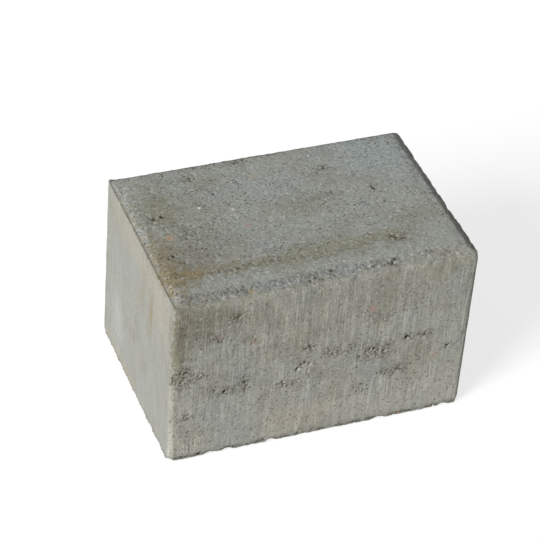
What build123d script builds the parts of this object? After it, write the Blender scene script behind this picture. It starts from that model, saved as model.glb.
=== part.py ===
from build123d import *
import os

# A pressed concrete paving stone, lying on its bed face with the wearing face up.
# Millimetres. The origin is the middle of the bed face, X runs along the long side,
# and the long side seen from the front looks towards -Y.

# The block as it leaves the mould
length = 210.0
width = 140.0
height = 136.5
arris_radius = 4.5  # upright corners, rounded by the mould

# The bevel that the stamp presses round the wearing face
bevel_run = 6.5  # in from the side
bevel_drop = 4.7  # below the wearing face
bevel_corner_radius = 2.0  # plan corners of the wearing face
worn_edge_radius = 4.0  # traffic has softened the edge between face and bevel

# The thin lip squeezed up between the stamp and the mould's wall
lip_width = 1.2
lip_height = 0.5

# The foot edge, rubbed by handling
foot_radius = 0.8

# The corner knocked off the foot, at the front left
corner_chip_radius = 9.0
corner_chip_depth = 4.1

# Shell-shaped flakes off the front foot edge, each at a share of the length
foot_flakes = (0.144, 0.205, 0.349, 0.718, 0.945)
foot_flake_radius = 6.0
foot_flake_depth = 1.6

# Flakes off the rim below the bevel, on the front and on the right side
rim_flakes = (0.127, 0.312, 0.745)
rim_flake_radius = 13.0
rim_flake_depth = 1.2
side_flake_place = 0.365  # share of the width, from the front
side_flake_radius = 4.5
side_flake_depth = 2.0


shoulder = height - bevel_drop
rim = shoulder + lip_height
left, right = -length / 2, length / 2
front = -width / 2


def flake(edge, away, radius, depth):
    """A shell-shaped break, depth into the block from a point on its edge."""
    with Locations(Vector(*edge) + Vector(*away).normalized() * (radius - depth)):
        Sphere(radius, mode=Mode.SUBTRACT)


with BuildPart() as paving_stone:
    # The body, drawn straight up out of the mould
    with BuildSketch() as outline:
        RectangleRounded(length, width, arris_radius)
    extrude(amount=shoulder)

    # The bevelled cap that the stamp forms inside the lip
    with BuildSketch(Plane.XY.offset(shoulder)) as stamp_outline:
        RectangleRounded(length - 2 * lip_width, width - 2 * lip_width, arris_radius - lip_width)
    with BuildSketch(Plane.XY.offset(height)) as wearing_outline:
        RectangleRounded(length - 2 * bevel_run, width - 2 * bevel_run, bevel_corner_radius)
    loft(ruled=True)

    # The edge round the wearing face, worn soft
    wearing_face = faces().sort_by(Axis.Z)[-1]
    fillet(wearing_face.edges(), radius=worn_edge_radius)

    # The lip that stands round the foot of the bevel
    with BuildSketch(Plane.XY.offset(shoulder)) as lip_outline:
        RectangleRounded(length, width, arris_radius)
        RectangleRounded(
            length - 2 * lip_width, width - 2 * lip_width, arris_radius - lip_width, mode=Mode.SUBTRACT
        )
    extrude(amount=lip_height)

    # The foot edge
    bed_face = faces().sort_by(Axis.Z)[0]
    fillet(bed_face.edges(), radius=foot_radius)

    # The damage
    flake((left, front, 0), (-1, -1, -1), corner_chip_radius, corner_chip_depth)
    for share in foot_flakes:
        flake((left + share * length, front, 0), (0, -1, -1), foot_flake_radius, foot_flake_depth)
    for share in rim_flakes:
        flake((left + share * length, front, rim), (0, -1, 1), rim_flake_radius, rim_flake_depth)
    side_flake_y = front + side_flake_place * width
    flake((right, side_flake_y, rim), (1, 0, 1), side_flake_radius, side_flake_depth)

paving_stone.part.label = "paving_stone"

os.makedirs("parts", exist_ok=True)
export_step(paving_stone.part, "parts/paving_stone.step")
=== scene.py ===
import math
import random

import bpy
import numpy as np
from mathutils import Matrix, Vector
from mathutils.bvhtree import BVHTree
from mathutils.kdtree import KDTree
from mathutils.noise import noise as perlin


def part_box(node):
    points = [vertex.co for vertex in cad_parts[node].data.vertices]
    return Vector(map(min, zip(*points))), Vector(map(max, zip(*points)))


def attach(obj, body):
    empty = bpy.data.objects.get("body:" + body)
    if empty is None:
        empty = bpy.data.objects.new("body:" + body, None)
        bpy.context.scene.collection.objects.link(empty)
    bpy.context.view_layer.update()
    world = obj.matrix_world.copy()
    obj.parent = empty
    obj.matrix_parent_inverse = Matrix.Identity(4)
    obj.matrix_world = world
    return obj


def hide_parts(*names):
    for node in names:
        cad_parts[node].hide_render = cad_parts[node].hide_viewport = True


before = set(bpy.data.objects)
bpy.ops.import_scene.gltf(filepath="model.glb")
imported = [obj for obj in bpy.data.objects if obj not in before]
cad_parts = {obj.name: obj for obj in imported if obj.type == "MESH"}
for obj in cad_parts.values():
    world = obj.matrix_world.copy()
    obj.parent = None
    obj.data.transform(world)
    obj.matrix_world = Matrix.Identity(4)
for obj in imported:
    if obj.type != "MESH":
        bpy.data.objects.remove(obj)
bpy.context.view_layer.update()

MM = 0.001


# The stone: one block of vibrated, pressed concrete. Its blank has the rounded arrises,
# the bevel, the lip and the flakes that the frame gives. Here it gets its blowholes,
# the open patches of its skin, its ragged edges and the relief of its sand.
low, high = (Vector(corner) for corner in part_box("paving_stone"))
length, width, height = high - low
bevel_run = 6.5 * MM
bevel_drop = 4.7 * MM
shoulder = height - bevel_drop
left, right, front, back = low.x, high.x, low.y, high.y
voxel = 0.55 * MM
most_triangles = 190_000


def only(piece):
    bpy.ops.object.select_all(action="DESELECT")
    piece.select_set(True)
    bpy.context.view_layer.objects.active = piece


def apply_modifier(piece, kind, **settings):
    only(piece)
    modifier = piece.modifiers.new("shaping", kind)
    for setting, value in settings.items():
        setattr(modifier, setting, value)
    bpy.ops.object.modifier_apply(modifier=modifier.name)


def relief(name, size, depth, group, cut=None, kind="CLOUDS"):
    """Presses the skin in by a noise of a size, at most to a depth; a cut keeps only its pits."""
    texture = bpy.data.textures.new(name, kind)
    texture.noise_scale = size * MM
    if cut:
        texture.use_color_ramp = True
        dark, light = texture.color_ramp.elements
        dark.color, light.color = (0, 0, 0, 1), (1, 1, 1, 1)
        dark.position, light.position = cut - 0.05, cut + 0.03
    apply_modifier(
        stone, "DISPLACE", texture=texture, strength=depth * MM, mid_level=1.0,
        texture_coords="LOCAL", vertex_group=group,
    )


def read_points():
    """Every vertex of the stone as a row of an array."""
    found = np.empty(3 * len(stone.data.vertices), np.float32)
    stone.data.vertices.foreach_get("co", found)
    return found.reshape(-1, 3)


def weigh(name, weights, levels=16):
    """A vertex group that holds a weight for each vertex, in even steps."""
    group = stone.vertex_groups.new(name=name)
    steps = np.round(np.clip(weights, 0, 1) * levels).astype(int)
    for step in range(1, levels + 1):
        group.add(np.nonzero(steps == step)[0].tolist(), step / levels, "REPLACE")


stone = bpy.data.objects.new("weathered_stone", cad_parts["paving_stone"].data.copy())
bpy.context.scene.collection.objects.link(stone)
stone.data.materials.clear()
only(stone)
bpy.ops.object.mode_set(mode="EDIT")
bpy.ops.mesh.select_all(action="SELECT")
bpy.ops.mesh.remove_doubles(threshold=0.001 * MM)
bpy.ops.object.mode_set(mode="OBJECT")
blank = BVHTree.FromObject(stone, bpy.context.evaluated_depsgraph_get())
apply_modifier(stone, "REMESH", mode="VOXEL", voxel_size=voxel)

# Each side: a first corner, the two directions along it and the way out of it
sides = {
    "front": (Vector((left, front, 0)), Vector((1, 0, 0)), Vector((0, 0, 1)), Vector((0, -1, 0))),
    "back": (Vector((left, back, 0)), Vector((1, 0, 0)), Vector((0, 0, 1)), Vector((0, 1, 0))),
    "left": (Vector((left, front, 0)), Vector((0, 1, 0)), Vector((0, 0, 1)), Vector((-1, 0, 0))),
    "right": (Vector((right, front, 0)), Vector((0, 1, 0)), Vector((0, 0, 1)), Vector((1, 0, 0))),
    "crown": (Vector((left, front, height)), Vector((1, 0, 0)), Vector((0, 1, 0)), Vector((0, 0, 1))),
}
draw = random.Random(21)

# The patches where the sand did not close: side, how far across and up from its first
# corner, how wide and high, all in millimetres, and how open the skin is
open_patches = [
    ("front", 7, 73, 7, 8, 1.0), ("front", 20, 71, 5, 3, 0.7), ("front", 38, 55, 8, 3, 1.0),
    ("front", 51, 58, 4, 6, 1.0), ("front", 43, 115, 5, 4, 0.8), ("front", 31, 101, 7, 3, 0.8),
    ("front", 56, 95, 6, 5, 0.5), ("front", 82, 50, 9, 3, 0.8), ("front", 91, 65, 3, 3, 1.0),
    ("front", 96, 78, 4, 3, 1.0), ("front", 114, 71, 9, 4, 0.9), ("front", 128, 72, 6, 3, 0.9),
    ("front", 143, 63, 12, 6, 1.0), ("front", 134, 33, 5, 4, 0.9), ("front", 157, 44, 9, 4, 0.9),
    ("front", 166, 71, 5, 3, 0.9), ("front", 177, 70, 7, 3, 0.8), ("front", 195, 56, 5, 2, 0.9),
    ("front", 12, 38, 8, 3, 0.6), ("front", 150, 92, 12, 6, 0.35), ("front", 75, 84, 12, 6, 0.3),
    ("crown", 50, 121, 4, 4, 0.9), ("crown", 18, 86, 7, 3, 0.9), ("crown", 88, 130, 6, 3, 0.7),
    ("crown", 142, 108, 7, 3, 0.8), ("crown", 167, 79, 4, 4, 0.7), ("crown", 136, 80, 8, 4, 0.6),
    ("crown", 161, 26, 7, 4, 0.8), ("crown", 60, 24, 40, 3, 0.5), ("crown", 33, 68, 10, 8, 0.4),
    ("crown", 98, 4, 12, 3, 0.7), ("crown", 149, 4, 9, 3, 0.6), ("crown", 189, 4, 4, 2, 0.5),
    ("crown", 40, 4, 20, 3, 0.5),
]
hidden_sides = (("back", 210), ("right", 140))
patch_spacing = 13
for hidden, reach in hidden_sides:
    for _ in range(round(reach / patch_spacing)):
        across, up = draw.uniform(6, reach - 6), draw.gauss(68, 16)
        wide, tall = draw.uniform(4, 16), draw.uniform(2, 6)
        open_patches.append((hidden, across, up, wide, tall, draw.uniform(0.4, 1)))


def from_sides(points):
    """How far each point lies inside the nearest upright side."""
    x, y, z = points.T
    return np.minimum(np.minimum(x - left, right - x), np.minimum(y - front, back - y))


def openness(points):
    """How open the skin is at each point, from 0 where it is closed to 1 in the middle of a patch."""
    ragged_size, skin_depth = 4.5 * MM, 6
    found = np.zeros(len(points), np.float32)
    ragged = np.array([perlin(Vector(point) / ragged_size) for point in points], np.float32)
    for side, across, up, wide, tall, strength in open_patches:
        corner, u, v, out = (np.array(part, np.float32) for part in sides[side])
        from_corner = (points - corner) / MM
        spread = ((from_corner @ u - across) / wide) ** 2 + ((from_corner @ v - up) / tall) ** 2
        spread += (from_corner @ out / skin_depth) ** 2
        found = np.maximum(found, strength * np.exp(-0.7 * spread))
    return np.clip(found * (1 + 1.1 * ragged), 0, 1)


# Where each relief acts, by how near a point is to the foot, to the rim below the bevel
# and to the worn edge above it
points = read_points()
x, y, z = points.T
inset = np.clip(from_sides(points), 0, None)
to_foot = np.hypot(inset, z) / MM
to_rim = np.hypot(inset, z - shoulder) / MM
to_worn_edge = np.hypot(inset - bevel_run, z - height) / MM
on_crown = np.clip((z - shoulder) / (0.8 * MM), 0, 1)
on_bevel = on_crown * np.clip((8 * MM - inset) / (2 * MM), 0, 1)
away_from_left = np.clip((x - left) / (4 * MM), 0, 1)
weigh("rubbed_rim", np.clip(2.2 - to_rim / 1.5, 0, 1) * away_from_left)
crumbled_rim = np.maximum((1.2 - to_rim / 5) * (0.1 + 0.45 * away_from_left), 0.4 * (1 - to_worn_edge / 7))
weigh("edges", np.maximum(1.2 - to_foot / 5, crumbled_rim))
weigh("crown", on_crown)
weigh("bevel", on_bevel)
weigh("flanks", (1 - on_crown) * np.clip(z / (0.5 * MM), 0, 1))
weigh("open_skin", openness(points))

# The rim is rubbed smooth first. Then come the reliefs: the size of the noise and its depth
# in millimetres, and where it acts.
rubbing = 24
apply_modifier(stone, "SMOOTH", factor=0.5, iterations=rubbing, vertex_group="rubbed_rim")
relief("swelling", 14, 0.4, "")
relief("crumbling", 6.0, 2.1, "edges")
relief("crumbs", 3.1, 0.6, "edges", kind="VORONOI")
relief("sand", 2.6, 0.2, "crown")
relief("coarse_sand", 1.9, 0.45, "bevel")
relief("lost_grains", 1.4, 1.0, "crown", cut=0.30)
relief("pinholes", 1.3, 0.8, "flanks", cut=0.25)
relief("closed_gaps", 2.1, 2.2, "open_skin", cut=0.35)
relief("fine_gaps", 1.2, 1.0, "open_skin", cut=0.36)
stone.vertex_groups.clear()

points = read_points()
normals = np.empty_like(points)
stone.data.vertices.foreach_get("normal", normals.ravel())
nearby = KDTree(len(points))
for i, point in enumerate(points):
    nearby.insert(point, i)
nearby.balance()


def scoop(place, radius, stretch=(1, 1, 1)):
    """Presses the skin out of a ragged, stretched ball: the hole of a bubble or a lost grain."""
    raggedness, ragged_scale = 0.4, 1.8
    size = np.array(stretch) * radius
    reach = 1.35 * max(size)
    found = np.array([i for _, i, _ in nearby.find_range(place, reach)], int)
    if len(found) == 0:
        return
    away = (points[found] - np.array(place)) / size
    distance = np.linalg.norm(away, axis=1, keepdims=True)
    direction = away / np.maximum(distance, 1e-6)
    shift = Vector((draw.uniform(-50, 50), draw.uniform(-50, 50), draw.uniform(-50, 50)))
    wall = np.array([[1 + raggedness * perlin(ragged_scale * Vector(d) + shift)] for d in direction])
    pressed = np.array(place) + direction * wall * size
    inwards = ((pressed - points[found]) * normals[found]).sum(1, keepdims=True) < 0
    points[found] = np.where((distance < wall) & inwards, pressed, points[found])


def on_side(side, across, up, proud=0.0):
    """A place on a side, in millimetres from its first corner; the crown falls away at its bevel."""
    corner, u, v, out = sides[side]
    place = corner + (u * across + v * up + out * proud) * MM
    if side == "crown":
        inset = min(place.x - left, right - place.x, place.y - front, back - place.y)
        place.z -= bevel_drop * max(0.0, 1 - inset / bevel_run)
    return place


def blowhole(side, across, up, size, holes=4):
    """A ragged hole, where a few neighbouring grains are missing."""
    inwards = Vector(abs(c) for c in sides[side][3]) * 0.7
    for _ in range(holes):
        radius = size * draw.uniform(0.6, 1.1)
        aside, above = draw.gauss(0, 0.9) * size, draw.gauss(0, 0.5) * size
        place = on_side(side, across + aside, up + above, draw.uniform(-0.1, 0.3) * radius)
        scoop(place, radius * MM, Vector(draw.uniform(0.7, 1.2) for _ in range(3)) + inwards)


def blowholes(side, wide, tall, count, least, most):
    """Single small holes all over a side."""
    for _ in range(count):
        blowhole(side, draw.uniform(4, wide - 4), draw.uniform(4, tall - 4), draw.uniform(least, most), 1)


def chipped_edge(start, end, way_out, count, least, most):
    """Small flakes off an edge, from start to end, each longer along the edge than deep."""
    along = Vector(abs(c) for c in (end - start).normalized())
    for _ in range(count):
        radius = draw.uniform(least, most) * MM
        place = start.lerp(end, draw.random()) + way_out.normalized() * radius * draw.uniform(0.2, 0.7)
        scoop(place, radius, Vector((1, 1, 1)) + along * draw.uniform(0.0, 1.3))


# The holes that catch the eye: how far across and up, and how big, in millimetres, on the
# front from left to right and then on the crown
for across, up, size in (
    (4, 70, 1.3), (7, 76, 1.6), (12, 73, 1.1), (36, 54, 1.7), (41, 56, 1.3), (50, 58, 1.3),
    (53, 54, 1.0), (44, 116, 1.3), (33, 102, 1.1), (58, 96, 1.0), (79, 50, 1.2), (87, 51, 1.1),
    (90, 64, 1.9), (92, 66, 1.4), (94, 77, 1.6), (98, 78, 1.3), (111, 71, 1.3), (118, 69, 1.2),
    (127, 71, 1.2), (138, 66, 1.3), (143, 63, 1.4), (149, 62, 1.2), (134, 33, 1.4), (130, 36, 1.0),
    (154, 43, 1.4), (160, 44, 1.1), (165, 71, 1.6), (177, 70, 1.1), (196, 56, 1.3), (122, 82, 0.9),
    (103, 92, 0.8), (70, 73, 0.9), (185, 47, 0.9), (172, 30, 0.8), (16, 104, 0.9),
):
    blowhole("front", across, up, size)
for across, up, size in (
    (51, 121, 1.2), (49, 119, 1.1), (52, 118, 0.8), (17, 86, 1.5), (22, 87, 1.4), (27, 85, 1.1),
    (88, 130, 1.4), (141, 108, 1.7), (146, 109, 1.1), (167, 79, 1.6), (136, 81, 1.4),
    (161, 26, 1.6), (166, 24, 1.2), (62, 101, 1.1), (118, 92, 1.1), (175, 112, 1.1), (28, 62, 1.3),
    (44, 40, 1.1), (95, 66, 1.0), (14, 46, 1.5), (19, 38, 1.2), (110, 50, 1.0), (190, 60, 1.0),
    (128, 120, 1.0), (98, 5, 1.2), (150, 5, 1.3), (153, 3, 0.8), (188, 4, 0.8), (58, 3, 1.2),
    (24, 3, 1.2), (30, 3, 1.0),
):
    blowhole("crown", across, up, size, 3)

# Pits just above the foot of the front, and then small ones all over
foot_pits = (
    12, 19, 22, 27, 31, 36, 41, 45, 52, 57, 62, 66, 73, 78, 85, 93, 104, 119, 133, 144, 156, 163, 176, 190,
)
for across in foot_pits:
    blowhole("front", across, draw.uniform(1.0, 3.6), draw.uniform(0.9, 1.6), 3)
blowholes("front", 210, 126, 70, 0.5, 0.8)
blowholes("left", 140, 126, 22, 0.5, 0.8)
blowholes("crown", 210, 140, 150, 0.55, 0.95)
for hidden, reach in hidden_sides:
    for _ in range(round(reach / 6)):
        blowhole(hidden, draw.uniform(5, reach - 5), draw.gauss(66, 20), draw.uniform(0.8, 1.7))
    blowholes(hidden, reach, 126, round(reach / 3), 0.5, 0.8)

# Flakes off the foot and off the rim below the bevel, all round
corners = [Vector((x, y, 0)) for x, y in ((left, front), (right, front), (right, back), (left, back))]
ways_out = [Vector((0, -1, 0)), Vector((1, 0, 0)), Vector((0, 1, 0)), Vector((-1, 0, 0))]
flake_spacing = 5 * MM
down, upwards = Vector((0, 0, -1)), Vector((0, 0, 1))
for i, way_out in enumerate(ways_out):
    start, end = corners[i], corners[(i + 1) % 4]
    flakes = round((end - start).length / flake_spacing)
    chipped_edge(start, end, way_out + down, round(1.2 * flakes), 1.0, 2.4)
    chipped_edge(start, end, way_out + down, flakes // 3, 2.4, 4.2)
    lift = upwards * shoulder
    chipped_edge(start + lift, end + lift, way_out + upwards, flakes // 4, 0.9, 1.8)

# The lip stands up as a small lump at the far left corner
lump_reach, lump_rise = 6 * MM, 1.5 * MM
to_corner = np.hypot(points[:, 0] - left, points[:, 1] - back)
lump = np.clip(1 - (to_corner / lump_reach) ** 2, 0, 1) * np.clip((points[:, 2] - shoulder) / MM + 1.5, 0, 1)
points[:, 2] += lump_rise * lump
stone.data.vertices.foreach_set("co", points.ravel())
stone.data.update()

# One closed skin again, thinned to what the relief needs and kept inside the blank's box
apply_modifier(stone, "REMESH", mode="VOXEL", voxel_size=voxel)
deep, off_edge = 0.75 * MM, 4 * MM
points = read_points()
depth_below = np.array([blank.find_nearest(point)[3] for point in points])
x, y, z = points.T
to_planes = np.sort(np.stack([x - left, right - x, y - front, back - y, height - z, z]), axis=0)
weigh("plain_skin", 1 - (depth_below > deep) * ((to_planes[1] > off_edge) | (z < off_edge)))
triangles = sum(len(face.vertices) - 2 for face in stone.data.polygons)
apply_modifier(stone, "DECIMATE", ratio=most_triangles / triangles, vertex_group="plain_skin")
stone.vertex_groups.clear()
points = np.clip(read_points(), low, high)
stone.data.vertices.foreach_set("co", points.ravel())
only(stone)
bpy.ops.object.shade_smooth()

# A map of six plain sheets, each side seen square on, for a picture baked off the skin
faces = len(stone.data.polygons)
middles = np.empty(3 * faces, np.float32)
stone.data.polygons.foreach_get("center", middles)
middles = middles.reshape(-1, 3)
depths = np.hstack([middles - np.array(low), np.array(high) - middles])
sheet_of_face = depths.argmin(1)
corner_vertices = np.empty(len(stone.data.loops), np.int32)
stone.data.loops.foreach_get("vertex_index", corner_vertices)
loop_counts = np.empty(faces, np.int32)
stone.data.polygons.foreach_get("loop_total", loop_counts)
sheet = np.repeat(sheet_of_face, loop_counts)
place = (points - np.array(low))[corner_vertices]
gap = 4 * MM
page = 2 * length + 3 * gap
u = np.choose(sheet % 3, [place[:, 1], place[:, 0], place[:, 0]])
v = np.choose(sheet % 3, [place[:, 2], place[:, 2], place[:, 1]])
u += gap + (sheet >= 3) * (length + gap)
v += gap + (sheet % 3) * (width + gap)
baked_map = stone.data.uv_layers.new(name="OFBake")
baked_map.data.foreach_set("uv", (np.stack([u, v], 1) / page).astype(np.float32).ravel())

# What the material reads at each point: how open the skin is, and its depth in
# millimetres below the blank, which the material darkens with dirt and painted shade. The rim's own wear
# doesn't count.
rim_wear = 0.75
depth_below = np.array([blank.find_nearest(point)[3] for point in points]) / MM
off_rim = np.hypot(from_sides(points), points[:, 2] - shoulder) / MM
depth_below -= rim_wear * np.clip(1.6 - off_rim / 6, 0, 1)
stone.data.attributes.new("sunken", "FLOAT", "POINT").data.foreach_set("value", depth_below)
stone.data.attributes.new("open_skin", "FLOAT", "POINT").data.foreach_set("value", openness(points))

# Its concrete: grey cement round pale, dark and reddish sand. The crown is open and cool
# grey, the flanks are smeared by the mould, and ground water has left brown and olive
# stains. Everything is laid out in millimetres from the middle of the bed face.
concrete = bpy.data.materials.new("pressed_concrete")
concrete.use_nodes = True
tree = concrete.node_tree
shader = tree.nodes["Principled BSDF"]


def node(kind, sockets, output=0, **settings):
    """A shader node with its settings and sockets filled in; gives one of its outputs."""
    made = tree.nodes.new("ShaderNode" + kind)
    for name, value in settings.items():
        setattr(made, name, value)
    for name, value in sockets.items():
        if isinstance(value, bpy.types.NodeSocket):
            tree.links.new(value, made.inputs[name])
        else:
            made.inputs[name].default_value = value
    return made.outputs[output]


def times(first, second):
    return node("Math", {0: first, 1: second}, operation="MULTIPLY")


def plus(first, second):
    return node("Math", {0: first, 1: second}, operation="ADD")


def about_zero(value, strength):
    """A noise of 0 to 1 as a swing about zero."""
    return node("Math", {0: value, 1: strength, 2: -0.5 * strength}, operation="MULTIPLY_ADD")


def ramp(value, start, end, least=0.0, most=1.0):
    """Turns start..end of a value smoothly into least..most."""
    sockets = {"Value": value, "From Min": start, "From Max": end, "To Min": least, "To Max": most}
    return node("MapRange", sockets, interpolation_type="SMOOTHSTEP")


def mixed(first, second, share, blend="MIX"):
    """Two colours put together by a share."""
    made = tree.nodes.new("ShaderNodeMix")
    made.data_type = "RGBA"
    made.blend_type = blend
    for socket, value in ((made.inputs[0], share), (made.inputs[6], first), (made.inputs[7], second)):
        if isinstance(value, bpy.types.NodeSocket):
            tree.links.new(value, socket)
        else:
            socket.default_value = (*value, 1.0) if isinstance(value, tuple) else value
    return made.outputs[2]


in_metres = node("TexCoord", {}, "Object")
place = node("VectorMath", {0: in_metres, 1: (1 / MM, 1 / MM, 1 / MM)}, operation="MULTIPLY")
x_mm = node("SeparateXYZ", {0: place}, "X")
y_mm = node("SeparateXYZ", {0: place}, "Y")
z_mm = node("SeparateXYZ", {0: place}, "Z")


def clouds(size, detail=2.0, tall=1.0, seed=0.0):
    """Noise with blobs of a size in millimetres, drawn out along Z."""
    where = node("Mapping", {"Vector": place, "Location": (seed, seed, seed), "Scale": (1, 1, 1 / tall)})
    return node("TexNoise", {"Vector": where, "Scale": 1 / size, "Detail": detail})


def grains(size, seed=0.0):
    """A random colour for every grain of sand of a size in millimetres."""
    where = node("Mapping", {"Vector": place, "Location": (seed, seed, seed)})
    return node("TexVoronoi", {"Vector": where, "Scale": 1 / size}, "Color")


# Where the faces are; their borders wander with the grains
wander = about_zero(clouds(6.0), 4.0)
off_middle_y = node("Math", {0: y_mm}, operation="ABSOLUTE")
from_long = node("Math", {0: width / 2 / MM, 1: off_middle_y}, operation="SUBTRACT")
off_middle_x = node("Math", {0: x_mm}, operation="ABSOLUTE")
from_short = node("Math", {0: length / 2 / MM, 1: off_middle_x}, operation="SUBTRACT")
from_side = node("Math", {0: from_long, 1: from_short}, operation="MINIMUM")
rim_up, left_end, top = shoulder / MM, left / MM, height / MM
crown = ramp(plus(z_mm, times(wander, 1.2)), rim_up - 0.5, rim_up + 1.4)
flank = ramp(crown, 0.0, 1.0, 1.0, 0.0)
bevel = times(crown, ramp(plus(from_side, wander), 9.5, 5.5))
left_side = ramp(x_mm, left_end + 1.6, left_end + 0.4)
left_flank = times(flank, left_side)
sunken = node("Attribute", {}, "Fac", attribute_name="sunken")
foot = times(flank, ramp(plus(z_mm, wander), 3.5, 0.0))
open_skin = plus(node("Attribute", {}, "Fac", attribute_name="open_skin"), times(foot, 0.6))

# The cement's greys: cleaner low on the flanks, damper high on them, darker on the bevel,
# less so on its right half, and then clouded all over
flank_grey, crown_grey, left_grey = (0.298, 0.299, 0.259), (0.276, 0.286, 0.260), (0.262, 0.263, 0.235)
clean_grey, bevel_grey, right_bevel_grey = (0.335, 0.330, 0.285), (0.212, 0.221, 0.207), (0.232, 0.231, 0.204)
damp_brown, cool_grey = (0.195, 0.180, 0.135), (0.265, 0.290, 0.288)
colour = mixed(flank_grey, crown_grey, crown)
low_down = ramp(plus(z_mm, about_zero(clouds(20.0, seed=3.0), 70.0)), 62.0, 8.0)
colour = mixed(colour, clean_grey, times(flank, low_down))
high_up = ramp(plus(z_mm, times(wander, 6.0)), 80.0, 110.0, 0.0, 0.22)
colour = mixed(colour, damp_brown, times(flank, high_up))
colour = mixed(colour, left_grey, left_flank)
greys_of_bevel = mixed(bevel_grey, right_bevel_grey, ramp(x_mm, 20.0, 60.0))
colour = mixed(colour, greys_of_bevel, times(bevel, 0.9))
colour = mixed(colour, damp_brown, ramp(clouds(24.0, 4.0, seed=11.0), 0.48, 0.75, 0.0, 0.4))
colour = mixed(colour, cool_grey, ramp(clouds(32.0, 3.0, seed=17.0), 0.48, 0.75, 0.0, 0.4))

# Soft soiling in the middle of the flanks, and painted shade on the rim just under the bevel
soil_grey, rim_shade_grey = (0.205, 0.205, 0.180), (0.205, 0.208, 0.183)
soiled = ramp(clouds(13.0, 3.0, seed=41.0), 0.50, 0.68, 0.0, 0.45)
soil = times(soiled, times(flank, ramp(z_mm, 30.0, 60.0)))
colour = mixed(colour, soil_grey, times(soil, ramp(left_side, 0.0, 1.0, 1.0, 0.15)))
# Painted shade on the band just under the bevel, none on the left side
rim = times(ramp(z_mm, rim_up - 1.6, rim_up - 0.2), flank)
colour = mixed(colour, rim_shade_grey, times(rim, ramp(left_side, 0.0, 1.0, 0.85, 0.0)))
blotches = about_zero(clouds(4.0, 4.0, seed=13.0), 2.0)


def stain(colour, middle, reach, tint, strength):
    """A soft stain round a point, its edge broken up by the sand."""
    offset = node("VectorMath", {0: place, 1: middle}, operation="SUBTRACT")
    scaled = node("VectorMath", {0: offset, 1: reach}, operation="DIVIDE")
    distance = node("VectorMath", {0: scaled}, "Value", operation="LENGTH")
    return mixed(colour, tint, ramp(plus(distance, blotches), 1.25, 0.2, 0.0, strength))


# The stains: middle and reach in millimetres, tint and strength; on the left side first,
# then on the crown and on the front
rust, bright_rust, ochre = (0.210, 0.162, 0.085), (0.255, 0.190, 0.090), (0.235, 0.190, 0.115)
umber, olive, tan = (0.130, 0.115, 0.078), (0.185, 0.175, 0.115), (0.205, 0.175, 0.110)
beige, pinkish, reddish = (0.330, 0.295, 0.230), (0.360, 0.300, 0.250), (0.230, 0.175, 0.135)
blue_grey, whitish = (0.265, 0.305, 0.303), (0.360, 0.370, 0.360)
stains = (
    ((-105, 0, 122), (9, 70, 16), beige, 0.38),
    ((-105, -46, 112), (9, 26, 26), beige, 0.40),
    ((-105, 20, 4), (9, 60, 12), beige, 0.40),
    ((-105, 38, 36), (9, 14, 30), whitish, 0.45),
    ((-105, -28, 95), (6, 4, 19), ochre, 0.70),
    ((-105, -10, 102), (6, 8, 22), ochre, 0.25),
    ((-98, -34, top), (12, 42, 9), rust, 0.62),
    ((-94, -42, top), (17, 12, 9), rust, 0.62),
    ((-84, -30, top), (36, 30, 9), umber, 0.34),
    ((-66, -43, top), (38, 8, 9), tan, 0.48),
    ((-84, -45, top), (11, 5, 9), bright_rust, 0.60),
    ((0, -43, top), (60, 13, 9), olive, 0.55),
    ((56, -43, top), (24, 10, 9), olive, 0.45),
    ((-86, 24, top), (18, 26, 9), olive, 0.45),
    ((-47, 41, top), (13, 10, 9), olive, 0.30),
    ((-76, 4, top), (34, 60, 9), olive, 0.26),
    ((7, 4, top), (30, 12, 9), olive, 0.40),
    ((74, -26, top), (20, 12, 9), olive, 0.35),
    ((-20, 68, top), (30, 5, 9), ochre, 0.35),
    ((76, 44, top), (38, 32, 9), blue_grey, 0.60),
    ((-88, -70, 117), (32, 12, 20), umber, 0.42),
    ((-101, -70, 104), (9, 6, 40), umber, 0.60),
    ((-12, -70, 20), (26, 9, 16), pinkish, 0.40),
    ((-100, -70, 88), (6, 6, 26), olive, 0.45),
    ((44, -70, 128), (5, 6, 3), reddish, 0.40),
    ((38, -70, 124), (5, 6, 3), reddish, 0.40),
)
for middle, reach, tint, strength in stains:
    colour = stain(colour, middle, reach, tint, strength)

# Vertical smears that the mould drew down the flanks
thin_smear = ramp(clouds(1.2, 2.0, 20.0, seed=2.0), 0.36, 0.74, -0.09, 0.26)
wide_smear = about_zero(clouds(4.5, 3.0, 5.0, seed=7.0), 0.5)
uneven = ramp(plus(clouds(18.0, seed=19.0), times(z_mm, 0.0015)), 0.42, 0.70, 0.25, 1.0)
smears = times(plus(times(thin_smear, uneven), wide_smear), times(flank, ramp(left_side, 0.0, 1.0, 1.0, 0.3)))

# Sand: every grain has its own shade, stronger where the skin is rough
shade = about_zero(node("SeparateColor", {"Color": grains(1.0)}), 0.34)
coarse = about_zero(node("SeparateColor", {"Color": grains(1.8, 4.0)}), 0.20)
dust = about_zero(clouds(0.8, 2.0, seed=5.0), 1.0)
sand = plus(plus(shade, coarse), dust)
rough_bevel = times(bevel, ramp(x_mm, 20.0, 75.0, 0.70, 0.25))
rough = plus(ramp(crown, 0.0, 1.0, 0.62, 0.84), plus(times(open_skin, 0.5), rough_bevel))
rough = times(rough, ramp(left_flank, 0.0, 1.0, 1.0, 0.36))
level = plus(plus(times(sand, rough), smears), 1.0)
colour = mixed(colour, node("CombineColor", {0: level, 1: level, 2: level}), 1.0, "MULTIPLY")

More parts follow.
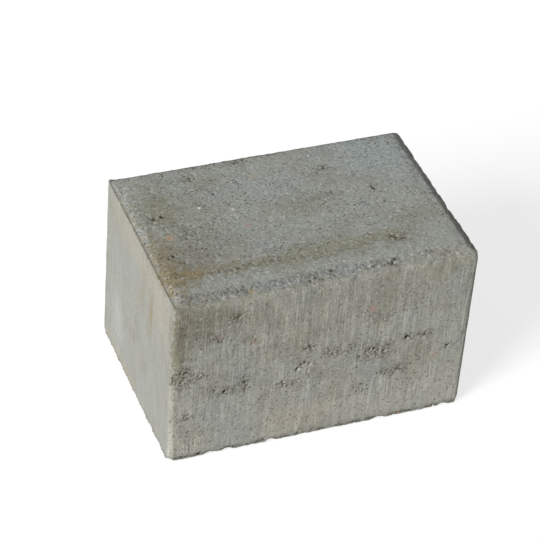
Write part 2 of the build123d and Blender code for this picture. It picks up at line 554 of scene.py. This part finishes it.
# A few grains are white, black or brown, more of them where the skin is open
pick = grains(1.5, 9.0)
rare = ramp(plus(node("SeparateColor", {"Color": pick}, "Red"), times(open_skin, 0.08)), 0.925, 0.945)
kind = node("SeparateColor", {"Color": pick}, "Green")
white_grain, black_grain, brown_grain = (0.42, 0.41, 0.38), (0.100, 0.100, 0.095), (0.25, 0.195, 0.135)
hue = mixed(white_grain, black_grain, ramp(kind, 0.45, 0.47))
hue = mixed(hue, brown_grain, ramp(kind, 0.86, 0.88))
colour = mixed(colour, hue, times(rare, ramp(rough, 0.25, 1.0, 0.15, 0.6)))
crumbs = about_zero(clouds(1.6, seed=3.0), 1.2)


def pebble(colour, middle, size, tint):
    """One coloured stone that shows in the skin."""
    distance = node("VectorMath", {0: place, 1: middle}, "Value", operation="DISTANCE")
    return mixed(colour, tint, ramp(plus(distance, times(crumbs, size)), size, 0.6 * size, 0.0, 0.6))


# The pebbles: middle and size in millimetres, and tint; on the crown first, then on the
# front and its foot
orange, rose, red, pink = (0.44, 0.28, 0.18), (0.34, 0.245, 0.215), (0.36, 0.235, 0.205), (0.33, 0.26, 0.22)
chalk, straw, amber = (0.66, 0.65, 0.61), (0.33, 0.31, 0.21), (0.24, 0.19, 0.11)
pebbles = (
    ((-86, -5, top), 3.0, orange),
    ((-34, -8, top), 2.6, rose),
    ((-58, 19, top), 1.5, chalk),
    ((-37, 12, top), 1.7, chalk),
    ((-13.5, 42, top), 3.2, straw),
    ((-53, -67, 133), 2.8, amber),
    ((32, -70, 101), 3.6, red),
    ((-50, -70, 93), 3.0, rose),
    ((-73, -70, 101), 2.2, rose),
    ((82, -70, 49), 4.0, pink),
    ((-64, -70, 3), 2.2, rose),
    ((-22, -70, 4), 2.4, rose),
    ((60, -70, 2), 2.6, orange),
    ((84, -70, 2), 2.0, orange),
)
for middle, size, tint in pebbles:
    colour = pebble(colour, middle, size, tint)

# Dirt and painted shade in the gaps of the open skin, in pits, in the crease along the lip
# and in the holes
open_brown, pit_dirt_and_shade = (0.185, 0.175, 0.135), (0.060, 0.056, 0.045)
crease_dirt_and_shade, hole_dirt_and_shade = (0.090, 0.085, 0.068), (0.035, 0.033, 0.027)
gaps = times(ramp(clouds(1.7, 2.0, seed=29.0), 0.44, 0.35), ramp(open_skin, 0.1, 0.8))
pitted = plus(clouds(1.7, 2.0, seed=37.0), about_zero(clouds(22.0, 2.0, seed=31.0), 0.22))
pit = times(ramp(pitted, 0.35, 0.28), ramp(rough, 0.3, 0.9, 0.2, 1.0))
hollow = node("Math", {0: gaps, 1: pit}, operation="MAXIMUM")
colour = mixed(colour, open_brown, ramp(open_skin, 0.05, 0.8, 0.0, 0.35))
# Painted shade and dirt darken the gaps and pits that the bump presses in
colour = mixed(colour, pit_dirt_and_shade, times(hollow, 0.85))
# Painted shade and dirt along the crease by the lip, broken into patches
by_lip = node("Math", {0: from_side, 1: 1.3, 2: 0.45}, operation="COMPARE")
at_rim = node("Math", {0: z_mm, 1: rim_up + 0.1, 2: 0.7}, operation="COMPARE")
near_left = ramp(x_mm, left_end + 5, left_end + 3, 0.0, 0.2)
crease_shade_patches = ramp(plus(clouds(5.0, 3.0, seed=23.0), near_left), 0.5, 0.65)
colour = mixed(colour, crease_dirt_and_shade, times(times(by_lip, at_rim), times(crease_shade_patches, 0.55)))
# Painted shade and dirt in the holes, darker the deeper they sink below the blank
colour = mixed(colour, hole_dirt_and_shade, ramp(sunken, 0.55, 1.8, 0.0, 0.92))

shader.inputs["Roughness"].default_value = 0.92
shader.inputs["Specular IOR Level"].default_value = 0.2
tree.links.new(colour, shader.inputs["Base Color"])
heights = plus(plus(times(sand, rough), times(smears, 0.6)), times(hollow, -1.2))
bump = node("Bump", {"Height": heights, "Strength": 1.0, "Distance": 0.45 * MM})
tree.links.new(bump, shader.inputs["Normal"])
stone.data.materials.append(concrete)
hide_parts("paving_stone")
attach(stone, "root")


# The floor: a plain pale sheet under the stone, not part of it. It is shown near white,
# with the stone's shadow on it, and throws back less light than that.
bpy.ops.object.select_all(action="DESELECT")
bpy.ops.mesh.primitive_plane_add(size=20, location=(0, 0, 0))
floor = bpy.context.object
floor.name = "floor"
floor_paint = bpy.data.materials.new("pale_floor")
floor_paint.use_nodes = True
tree = floor_paint.node_tree
painted = tree.nodes["Principled BSDF"]
painted.inputs["Base Color"].default_value = (0.5, 0.5, 0.5, 1)
painted.inputs["Roughness"].default_value = 1.0
painted.inputs["Specular IOR Level"].default_value = 0.0


def on_show():
    """1 for what the camera sees, by itself or by way of gloss or glass."""
    seen, mirrored, through = (
        node("LightPath", {}, f"Is {ray} Ray") for ray in ("Camera", "Glossy", "Transmission")
    )
    seen_or_mirrored = node("Math", {0: seen, 1: mirrored}, operation="MAXIMUM")
    return node("Math", {0: seen_or_mirrored, 1: through}, operation="MAXIMUM")


shaded = node("BsdfDiffuse", {"Color": (0.3, 0.3, 0.3, 1)})
glowing = node("AddShader", {0: shaded, 1: node("Emission", {"Strength": 0.72})})
shown = node("MixShader", {0: on_show(), 1: painted.outputs["BSDF"], 2: glowing})
tree.links.new(shown, tree.nodes["Material Output"].inputs["Surface"])
floor.data.materials.append(floor_paint)


# The light: an even pale surround, and a broad soft lamp far off, high at the left and a
# little in front, as in the photograph.
world = bpy.data.worlds.new("surround")
bpy.context.scene.world = world
world.use_nodes = True
tree = world.node_tree
surround = tree.nodes["Background"]
surround.inputs["Color"].default_value = (1, 1, 1, 1)
surround.inputs["Strength"].default_value = 0.34
white = node("Background", {"Color": (1, 1, 1, 1), "Strength": 1.0})
backdrop = node("MixShader", {0: on_show(), 1: surround.outputs["Background"], 2: white})
tree.links.new(backdrop, tree.nodes["World Output"].inputs["Surface"])

lamp_direction = Vector((-0.795, -0.392, 0.477)).normalized()
bpy.ops.object.light_add(type="SUN", location=lamp_direction)
lamp = bpy.context.object
lamp.name = "soft_lamp"
lamp.data.angle = math.radians(25)
lamp.data.energy = 4.55
lamp.rotation_euler = lamp_direction.to_track_quat("Z", "Y").to_euler()


# The camera: above the stone's near left corner, with a long lens, held a little tilted. Its
# place was fitted in lengths of the stone, to the edges in the photograph.
heading = math.radians(23.51)
looking_down = math.radians(39.12)
tilt = math.radians(4.81)
camera_place = Vector((-2.413, -5.412, 5.222)) * length
bpy.ops.object.camera_add(location=camera_place)
camera = bpy.context.object
turn = (
    Matrix.Rotation(-heading, 4, "Z")
    @ Matrix.Rotation(math.pi / 2 - looking_down, 4, "X")
    @ Matrix.Rotation(tilt, 4, "Z")
)
camera.matrix_world = Matrix.Translation(camera_place) @ turn
camera.data.sensor_width = 36.0
camera.data.lens = 160.4
camera.data.clip_end = 50.0
bpy.context.scene.camera = camera
bpy.context.scene.view_settings.view_transform = "Standard"
